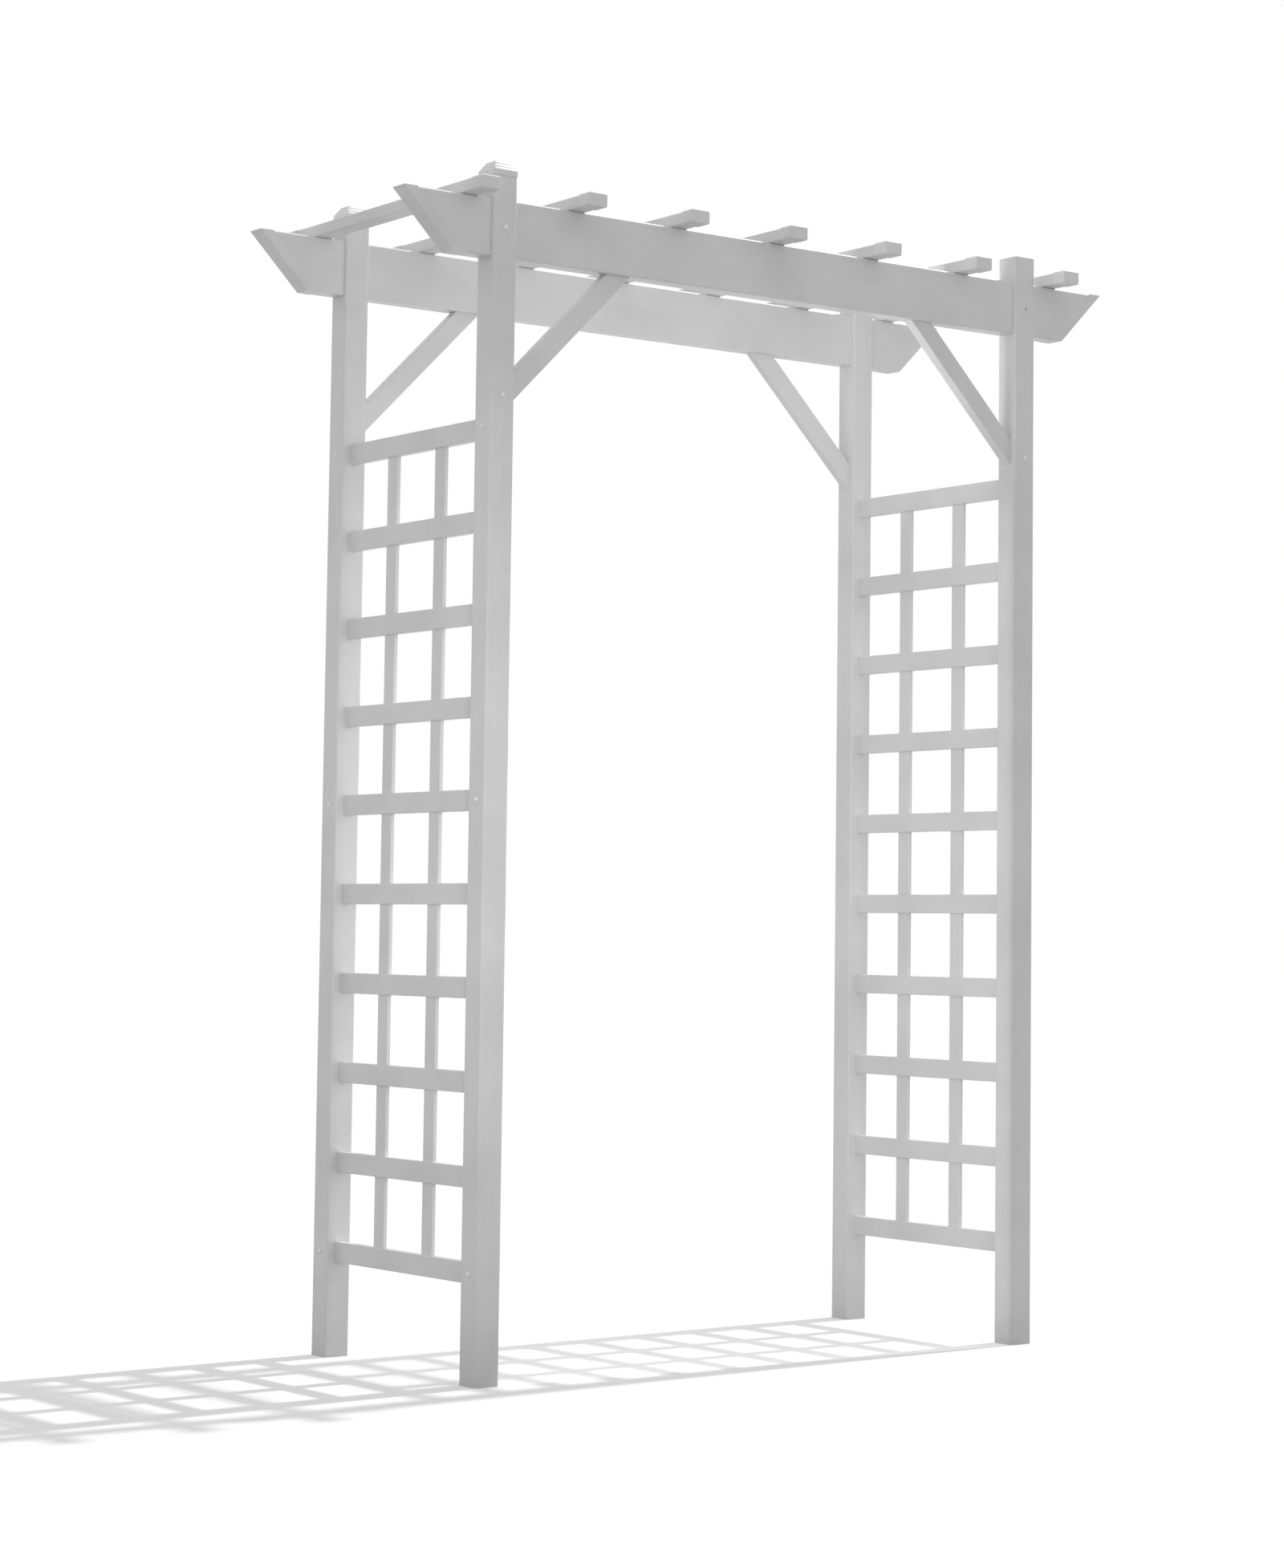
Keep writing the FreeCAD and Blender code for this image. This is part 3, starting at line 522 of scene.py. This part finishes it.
def steel_material():
    """Zinc-plated screw steel: grained, dulled in patches, with painted shade where the piece's recess mask is 1:
    there the recess is coloured nearly black, not metallic and fully rough.
    """
    steel = bpy.context.scene.arch_steel
    material, tree, position, shader = new_material("screw_steel")
    clouds = place_group(tree, "Clouding", clouding_group, {
        "Position": position, "Patch": steel.cloud_size, "Clean": opaque(steel.colour),
        "Weathered": opaque(steel.tarnish)})
    recess = add_node(tree, "ShaderNodeAttribute", attribute_name="recess").outputs["Fac"]
    # Painted shade: the recess mask blends in the near-black recess colour.
    recess_shaded = blend_colours(tree, recess, clouds["Colour"], opaque(steel.recess_shade))
    grain = place_group(tree, "Mould grain", mould_grain_group, {
        "Position": position, "Grain": steel.grain, "Roughness": steel.roughness, "Spread": 0.5})
    join(tree, {"Base Color": recess_shaded, "Metallic": calculate(tree, "SUBTRACT", 1.0, recess),
                "Roughness": calculate(tree, "MAXIMUM", grain["Roughness"], recess),
                "Normal": bumped(tree, grain["Height"], 0.15, 0.00005)}, shader)
    return material


def dress(names, material):
    """Gives CAD nodes a finish."""
    for name in names:
        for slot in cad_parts[name].material_slots:
            slot.material = material


# Where things are


def middle(node):
    """Centre of a CAD node's box."""
    low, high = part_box(node)
    return (low + high) / 2


def face_screws(side):
    """Places of the screws on the posts' front or back face: at the header and at the brace."""
    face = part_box(f"post_{side}_left")[0 if side == FRONT else 1].y
    header = middle(f"header_{side}").z
    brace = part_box(f"screws_{side}")[0].z + bpy.context.scene.arch_fasteners.head_radius
    across = [middle(f"post_{side}_{end}").x for end in (LEFT, RIGHT)]
    return [(x, face, z) for x in across for z in (header, brace)]


def side_screws(side):
    """Places of the screws on the posts' outer side: at the lowest, a middle and the highest rail they hold."""
    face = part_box(f"post_front_{side}")[0 if side == LEFT else 1].x
    depth = [middle(f"post_{end}_{side}").y for end in (FRONT, BACK)]
    levels = [middle(f"rail_{side}_{number}").z for number in (1, 6, 10)]
    return [(face, y, z) for y in depth for z in levels]


def rafter_screws():
    """Places of the screws through the rafters, over each header."""
    depth = [middle(f"header_{side}").y for side in (FRONT, BACK)]
    return [(middle(name).x, y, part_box(name)[1].z) for name in RAFTERS for y in depth]


# Operators


class ARCH_OT_posts(Operator):
    """Finish the four posts as vinyl drawn upright"""

    bl_idname = "arch.posts"
    bl_label = "Posts"

    def execute(self, context):
        dress(POSTS, vinyl_material("post_vinyl", UP))
        return {"FINISHED"}


class ARCH_OT_trellis(Operator):
    """Finish the rails and slats of both trellis sides"""

    bl_idname = "arch.trellis"
    bl_label = "Trellis"

    def execute(self, context):
        dress(RAILS, vinyl_material("rail_vinyl", DEPTH))
        slats = [f"slat_{side}_{end}" for side in (LEFT, RIGHT) for end in (FRONT, BACK)]
        dress(slats, vinyl_material("slat_vinyl", UP))
        return {"FINISHED"}


class ARCH_OT_headers(Operator):
    """Finish the two headers as vinyl drawn across the arch"""

    bl_idname = "arch.headers"
    bl_label = "Headers"

    def execute(self, context):
        dress(["header_front", "header_back"], vinyl_material("header_vinyl", ACROSS))
        return {"FINISHED"}


class ARCH_OT_rafters(Operator):
    """Finish the rafters as vinyl drawn from front to back"""

    bl_idname = "arch.rafters"
    bl_label = "Rafters"

    def execute(self, context):
        dress(RAFTERS, vinyl_material("rafter_vinyl", DEPTH))
        return {"FINISHED"}


class ARCH_OT_braces(Operator):
    """Finish the slanted braces as vinyl drawn along their slant"""

    bl_idname = "arch.braces"
    bl_label = "Braces"

    def execute(self, context):
        for side, turn in ((LEFT, math.radians(45.0)), (RIGHT, math.radians(-45.0))):
            braces = [f"brace_{end}_{side}" for end in (FRONT, BACK)]
            dress(braces, vinyl_material(f"brace_vinyl_{side}", UP, turn))
        return {"FINISHED"}


class ARCH_OT_post_caps(Operator):
    """Stepped post caps: a stepped profile carried round a square with rounded corners"""

    bl_idname = "arch.post_caps"
    bl_label = "Post caps"

    def execute(self, context):
        cap = context.scene.arch_post_cap
        rim = 0.004  # flat ring round the face that closes each end
        least_corner = 0.0004
        for node in POST_CAPS:
            low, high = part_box(node)
            post_low, post_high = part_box(node.replace("cap_", ""))
            outer = (high.x - low.x) / 2
            inner = (post_high.x - post_low.x) / 2 + cap.clearance
            rise = (high.z - post_high.z) / cap.tiers
            corners = [(inner - rim, post_high.z), (inner, post_high.z), (inner, low.z), (outer, low.z)]
            for tier in range(cap.tiers):
                edge = outer - tier * (cap.run + cap.ledge)
                foot = post_high.z + tier * rise
                if tier:
                    corners.append((edge, foot))
                corners += [(edge, foot + cap.riser), (edge - cap.run, foot + rise)]
            corners.append((corners[-1][0] - rim, high.z))
            half, height = eased_profile(corners, np.full(len(corners) - 2, 0.7 * cap.easing)).T
            corner = np.maximum(half - outer + cap.corner, least_corner)
            rings = rectangle_rings(half, half, corner, height)
            centre = middle(node)
            finish = moulded_material("moulded_white", context.scene.arch_moulded)
            closed_surface(f"stepped_{node}", placed(rings, [(centre.x, centre.y, 0.0)], TOP), finish,
                           [node])
        return {"FINISHED"}


class ARCH_OT_header_caps(Operator):
    """Finish the caps on the slanted ends of the headers as moulded vinyl in the headers' white"""

    bl_idname = "arch.header_caps"
    bl_label = "Header caps"

    def execute(self, context):
        caps = [f"header_cap_{end}_{side}" for end in (FRONT, BACK) for side in (LEFT, RIGHT)]
        dress(caps, moulded_material("moulded_header_white", context.scene.arch_vinyl))
        return {"FINISHED"}


class ARCH_OT_rafter_caps(Operator):
    """Rafter end caps: a sleeve's profile carried round the rafter's section, one on each end"""

    bl_idname = "arch.rafter_caps"
    bl_label = "Rafter caps"

    def execute(self, context):
        cap = context.scene.arch_rafter_cap
        rim = 0.003  # flat ring round the face that closes the outer end
        inner_easing = 0.0002
        least_corner = 0.0008
        for end in (FRONT, BACK):
            node = f"rafter_caps_{end}"
            low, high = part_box(node)
            bar_low, bar_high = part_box(RAFTERS[0])
            half_across = (bar_high.x - bar_low.x) / 2 + cap.clearance
            half_up = (bar_high.z - bar_low.z) / 2 + cap.clearance
            wall = (high.z - low.z) / 2 - half_up
            skirt = (high.y - low.y) - cap.plate
            corners = [(0.0, 0.0), (0.0, -skirt), (wall, -skirt), (wall, cap.plate), (-rim, cap.plate)]
            grow, reach = eased_profile(corners, [inner_easing, cap.rim_easing, cap.easing], 5).T
            corner = np.maximum(cap.corner + cap.clearance + grow, least_corner)
            rings = rectangle_rings(half_across + grow, half_up + grow, corner, reach)
            tip = bar_low.y if end == FRONT else bar_high.y
            origins = [(middle(name).x, tip, middle(name).z) for name in RAFTERS]
            finish = moulded_material("moulded_white", context.scene.arch_moulded)
            closed_surface(f"fitted_{node}", placed(rings, origins, end), finish, [node])
        return {"FINISHED"}


class ARCH_OT_screws(Operator):
    """Pan-head screws: a profile turned round its axis, with a cross recess sunk into the head"""

    bl_idname = "arch.screws"
    bl_label = "Screws"

    def execute(self, context):
        steel = steel_material()
        groups = [(f"screws_{side}", side, face_screws(side)) for side in (FRONT, BACK)]
        groups += [(f"screws_{side}", side, side_screws(side)) for side in (LEFT, RIGHT)]
        groups.append(("screws_rafters", TOP, rafter_screws()))
        for node, facing, origins in groups:
            low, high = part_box(node)
            normal = Vector(FACING[facing][2])
            length = abs((high - low).dot(normal)) - context.scene.arch_fasteners.head_height
            rings, recess = self.rings(context, length)
            piece = closed_surface(f"crossed_{node}", placed(rings, origins, facing), steel, [node])
            # The recess mask also places the painted shade in the steel material.
            mask = piece.data.attributes.new("recess", "FLOAT", "POINT")
            mask.data.foreach_set("value", np.tile(recess.ravel(), len(origins)))
        return {"FINISHED"}

    def rings(self, context, length):
        """Rings from the shank's tip over the head's rim to the middle of its crown, and their recess mask.

        The crown falls with a power of the radius. The recess sinks it by the depth times a mask that is 1
        where a point is within half an arm's width of either arm's line and within the arm's reach, or within
        the pit where the arms cross, eased at its borders.
        """
        screw = context.scene.arch_fasteners
        tip_radius, tip_length, easing = 0.0004, 0.003, 0.0002
        side = 0.45 * screw.head_height
        crown_power = 2.6
        soft = 0.00012  # width of the recess's eased border
        stem = eased_profile(
            [(tip_radius, -length), (screw.shank_radius, -length + tip_length), (screw.shank_radius, 0.0),
             (screw.head_radius, 0.0), (screw.head_radius, side)],
            [easing] * 3, 3)
        share = np.linspace(1.0, 0.02, 22)[1:]
        crown = screw.head_height - (screw.head_height - side) * share ** crown_power
        rings = turned_rings(np.vstack([stem, np.stack([screw.head_radius * share, crown], axis=-1)]), 56)
        across = np.abs(rings[..., 0])
        up = np.abs(rings[..., 1])
        near = np.clip((screw.recess_width / 2 - np.minimum(across, up)) / soft, 0.0, 1.0)
        within = np.clip((screw.recess_reach - np.maximum(across, up)) / soft, 0.0, 1.0)
        pit = np.clip((screw.recess_pit - np.hypot(across, up)) / soft, 0.0, 1.0)
        head = np.arange(len(rings))[:, None] >= len(stem)
        recess = np.maximum(near * within, pit) * head
        rings[..., 2] -= screw.recess_depth * recess
        return rings, recess


class ARCH_OT_screw_covers(Operator):
    """Snap covers: a shallow crowned cup's profile turned round its axis, one over each covered screw"""

    bl_idname = "arch.screw_covers"
    bl_label = "Screw covers"

    def execute(self, context):
        cover = context.scene.arch_fasteners
        outer, crown = cover.cover_radius, cover.cover_height
        hollow = outer - cover.cover_wall
        ceiling = crown - cover.cover_top
        centre = 0.0002  # radius of the face that closes each end
        corners = [(centre, ceiling), (hollow, ceiling), (hollow, 0.0), (outer, 0.0), (outer, 0.62 * crown),
                   (0.72 * outer, 0.95 * crown), (centre, crown)]
        rings = turned_rings(eased_profile(corners, [0.0003, 0.0002, 0.0003, 0.0012, 0.0014], 6))
        for side in (FRONT, BACK, LEFT, RIGHT):
            node = f"screw_covers_{side}"
            origins = face_screws(side) if side in (FRONT, BACK) else side_screws(side)
            if side == FRONT:
                # The front right header screw is bare.
                header = middle("header_front").z
                origins = [place for place in origins if place[0] < 0 or place[2] < header]
            finish = moulded_material("moulded_cover_white", cover)
            closed_surface(f"crowned_{node}", placed(rings, origins, side), finish, [node])
        return {"FINISHED"}


class ARCH_OT_stage(Operator):
    """Set a white floor, even light with a soft sun, and the camera"""

    bl_idname = "arch.stage"
    bl_label = "Stage"

    def execute(self, context):
        stage = context.scene.arch_stage
        self.make_floor(stage)
        self.make_world(context.scene, stage)
        self.make_sun(context.scene, stage)
        self.make_fill(context.scene, stage)
        self.make_camera(context.scene, stage)
        context.scene.view_settings.view_transform = "Standard"
        return {"FINISHED"}

    def seen(self, tree):
        """1 where the camera, a reflection or a see-through surface looks, and 0 for the light itself."""
        path = tree.nodes.new("ShaderNodeLightPath").outputs
        looked_at = calculate(tree, "MAXIMUM", path["Is Camera Ray"], path["Is Glossy Ray"])
        return calculate(tree, "MAXIMUM", looked_at, path["Is Transmission Ray"])

    def make_floor(self, stage):
        """A flat grid at the height of the posts' feet, which shows its shading and a share of white on top."""
        reach = 40.0
        steps = np.linspace(-reach, reach, 9)
        across, depth = np.meshgrid(steps, steps)
        points = np.stack([across, depth, np.zeros_like(across)], axis=-1)
        index = np.arange(points.shape[0] * points.shape[1]).reshape(points.shape[:2])
        quads = np.stack([index[:-1, :-1], index[:-1, 1:], index[1:, 1:], index[1:, :-1]], axis=-1)
        mesh = bpy.data.meshes.new("floor")
        mesh.from_pydata(points.reshape(-1, 3), [], quads.reshape(-1, 4).tolist())
        material, tree = empty_material("floor_white")
        seen = self.seen(tree)
        colour = blend_colours(tree, seen, opaque(stage.floor_bounce), opaque(stage.floor))
        diffuse = add_node(tree, "ShaderNodeBsdfDiffuse", {"Color": colour})
        lift = calculate(tree, "MULTIPLY", seen, stage.floor_lift)
        white = add_node(tree, "ShaderNodeEmission", {"Color": WHITE, "Strength": lift})
        both = add_node(tree, "ShaderNodeAddShader", {0: diffuse.outputs["BSDF"], 1: white.outputs["Emission"]})
        add_node(tree, "ShaderNodeOutputMaterial", {"Surface": both.outputs["Shader"]})
        mesh.materials.append(material)
        floor = bpy.data.objects.new("floor", mesh)
        bpy.context.scene.collection.objects.link(floor)

    def make_world(self, scene, stage):
        """Even light from all round; what is looked at is white."""
        world = bpy.data.worlds.new("white_surround")
        world.use_nodes = True
        tree = world.node_tree
        tree.nodes.clear()
        light = add_node(tree, "ShaderNodeBackground", {"Color": WHITE, "Strength": stage.ambient})
        white = add_node(tree, "ShaderNodeBackground", {"Color": WHITE, "Strength": 1.0})
        mix = add_node(tree, "ShaderNodeMixShader", {0: self.seen(tree), 1: light.outputs["Background"],
                                                     2: white.outputs["Background"]})
        add_node(tree, "ShaderNodeOutputWorld", {"Surface": mix.outputs["Shader"]})
        scene.world = world

    def make_sun(self, scene, stage):
        """A sun lamp high on the right."""
        lamp = bpy.data.lights.new("soft_sun", "SUN")
        lamp.energy = stage.sun
        lamp.angle = stage.sun_spread
        sun = bpy.data.objects.new("soft_sun", lamp)
        flat = math.cos(stage.sun_height)
        towards = Vector((flat * math.cos(stage.sun_bearing), flat * math.sin(stage.sun_bearing),
                          math.sin(stage.sun_height)))
        distance = 6.0
        sun.matrix_world = (Matrix.Translation(distance * towards)
                            @ towards.to_track_quat("Z", "Y").to_matrix().to_4x4())
        scene.collection.objects.link(sun)

    def make_fill(self, scene, stage):
        """Weak soft panels: two that face back, in the front opening and behind the front header, one by the
        near corner, and one inside that looks up at the right posts.
        """
        low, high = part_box("post_front_left")
        brace_gap, post_gap = 0.06, 0.012
        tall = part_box("brace_front_left")[0].z - brace_gap
        wide = -2 * (high.x + post_gap)
        backwards = (0.0, 1.0, 0.0)
        self.add_panel(scene, "inner_fill", stage.inner_fill, (wide, tall), (0.0, low.y, tall / 2),
                       backwards, 180.0)
        self.add_panel(scene, "head_fill", stage.head_fill, (1.3, 0.3), (0.0, high.y, 1.9), backwards, 180.0)
        self.add_panel(scene, "corner_fill", stage.corner_fill, (0.3, 1.1), (-1.15, -1.25, 1.0),
                       (0.46, 0.89, 0.0), 66.0)
        self.add_panel(scene, "side_fill", stage.side_fill, (0.4, 0.3), (-0.35, -0.1, 1.66),
                       (0.93, 0.0, 0.36), 40.0)

    def add_panel(self, scene, name, power, size, place, aim, spread):
        """A soft panel that isn't seen itself; its spread is in degrees."""
        lamp = bpy.data.lights.new(name, "AREA")
        lamp.energy = power
        lamp.shape = "RECTANGLE"
        lamp.size, lamp.size_y = size
        lamp.spread = math.radians(spread)
        panel = bpy.data.objects.new(name, lamp)
        panel.matrix_world = Matrix.Translation(place) @ Vector(aim).to_track_quat("-Z", "Y").to_matrix().to_4x4()
        panel.visible_camera = False
        panel.visible_glossy = False
        scene.collection.objects.link(panel)

    def make_camera(self, scene, stage):
        """The camera, turned to the right, tilted up and rolled, in that order."""
        lens = bpy.data.cameras.new("camera")
        lens.sensor_width = 36.0
        lens.lens = stage.camera_lens
        lens.shift_y = stage.camera_shift
        lens.clip_end = 200.0
        camera = bpy.data.objects.new("camera", lens)
        camera.matrix_world = (
            Matrix.Translation(stage.camera_place)
            @ Matrix.Rotation(-stage.camera_bearing, 4, "Z")
            @ Matrix.Rotation(math.pi / 2 + stage.camera_tilt, 4, "X")
            @ Matrix.Rotation(stage.camera_roll, 4, "Z"))
        scene.collection.objects.link(camera)
        scene.camera = camera


OPERATORS = (
    ARCH_OT_posts,
    ARCH_OT_trellis,
    ARCH_OT_headers,
    ARCH_OT_rafters,
    ARCH_OT_braces,
    ARCH_OT_post_caps,
    ARCH_OT_header_caps,
    ARCH_OT_rafter_caps,
    ARCH_OT_screws,
    ARCH_OT_screw_covers,
    ARCH_OT_stage,
)
SETTINGS = {
    "arch_vinyl": VinylSettings,
    "arch_moulded": MouldedSettings,
    "arch_steel": SteelSettings,
    "arch_post_cap": PostCapSettings,
    "arch_rafter_cap": RafterCapSettings,
    "arch_fasteners": FastenerSettings,
    "arch_stage": StageSettings,
}


class ARCH_PT_panel(Panel):
    """Lists the arch's pieces and their settings"""

    bl_idname = "ARCH_PT_panel"
    bl_label = "Garden arch"
    bl_space_type = "VIEW_3D"
    bl_region_type = "UI"
    bl_category = "Garden arch"

    def draw(self, context):
        for operator in OPERATORS:
            self.layout.operator(operator.bl_idname)
        for name, kind in SETTINGS.items():
            box = self.layout.box()
            box.label(text=kind.__doc__)
            for key in kind.__annotations__:
                box.prop(getattr(context.scene, name), key)


def register():
    for name, kind in SETTINGS.items():
        bpy.utils.register_class(kind)
        setattr(bpy.types.Scene, name, PointerProperty(type=kind))
    for kind in (*OPERATORS, ARCH_PT_panel):
        bpy.utils.register_class(kind)


def unregister():
    for kind in (ARCH_PT_panel, *reversed(OPERATORS)):
        bpy.utils.unregister_class(kind)
    for name, kind in SETTINGS.items():
        delattr(bpy.types.Scene, name)
        bpy.utils.unregister_class(kind)


def main():
    register()
    bpy.ops.arch.posts()
    bpy.ops.arch.trellis()
    bpy.ops.arch.headers()
    bpy.ops.arch.rafters()
    bpy.ops.arch.braces()
    bpy.ops.arch.post_caps()
    bpy.ops.arch.header_caps()
    bpy.ops.arch.rafter_caps()
    bpy.ops.arch.screws()
    bpy.ops.arch.screw_covers()
    bpy.ops.arch.stage()


if __name__ == "__main__":
    main()
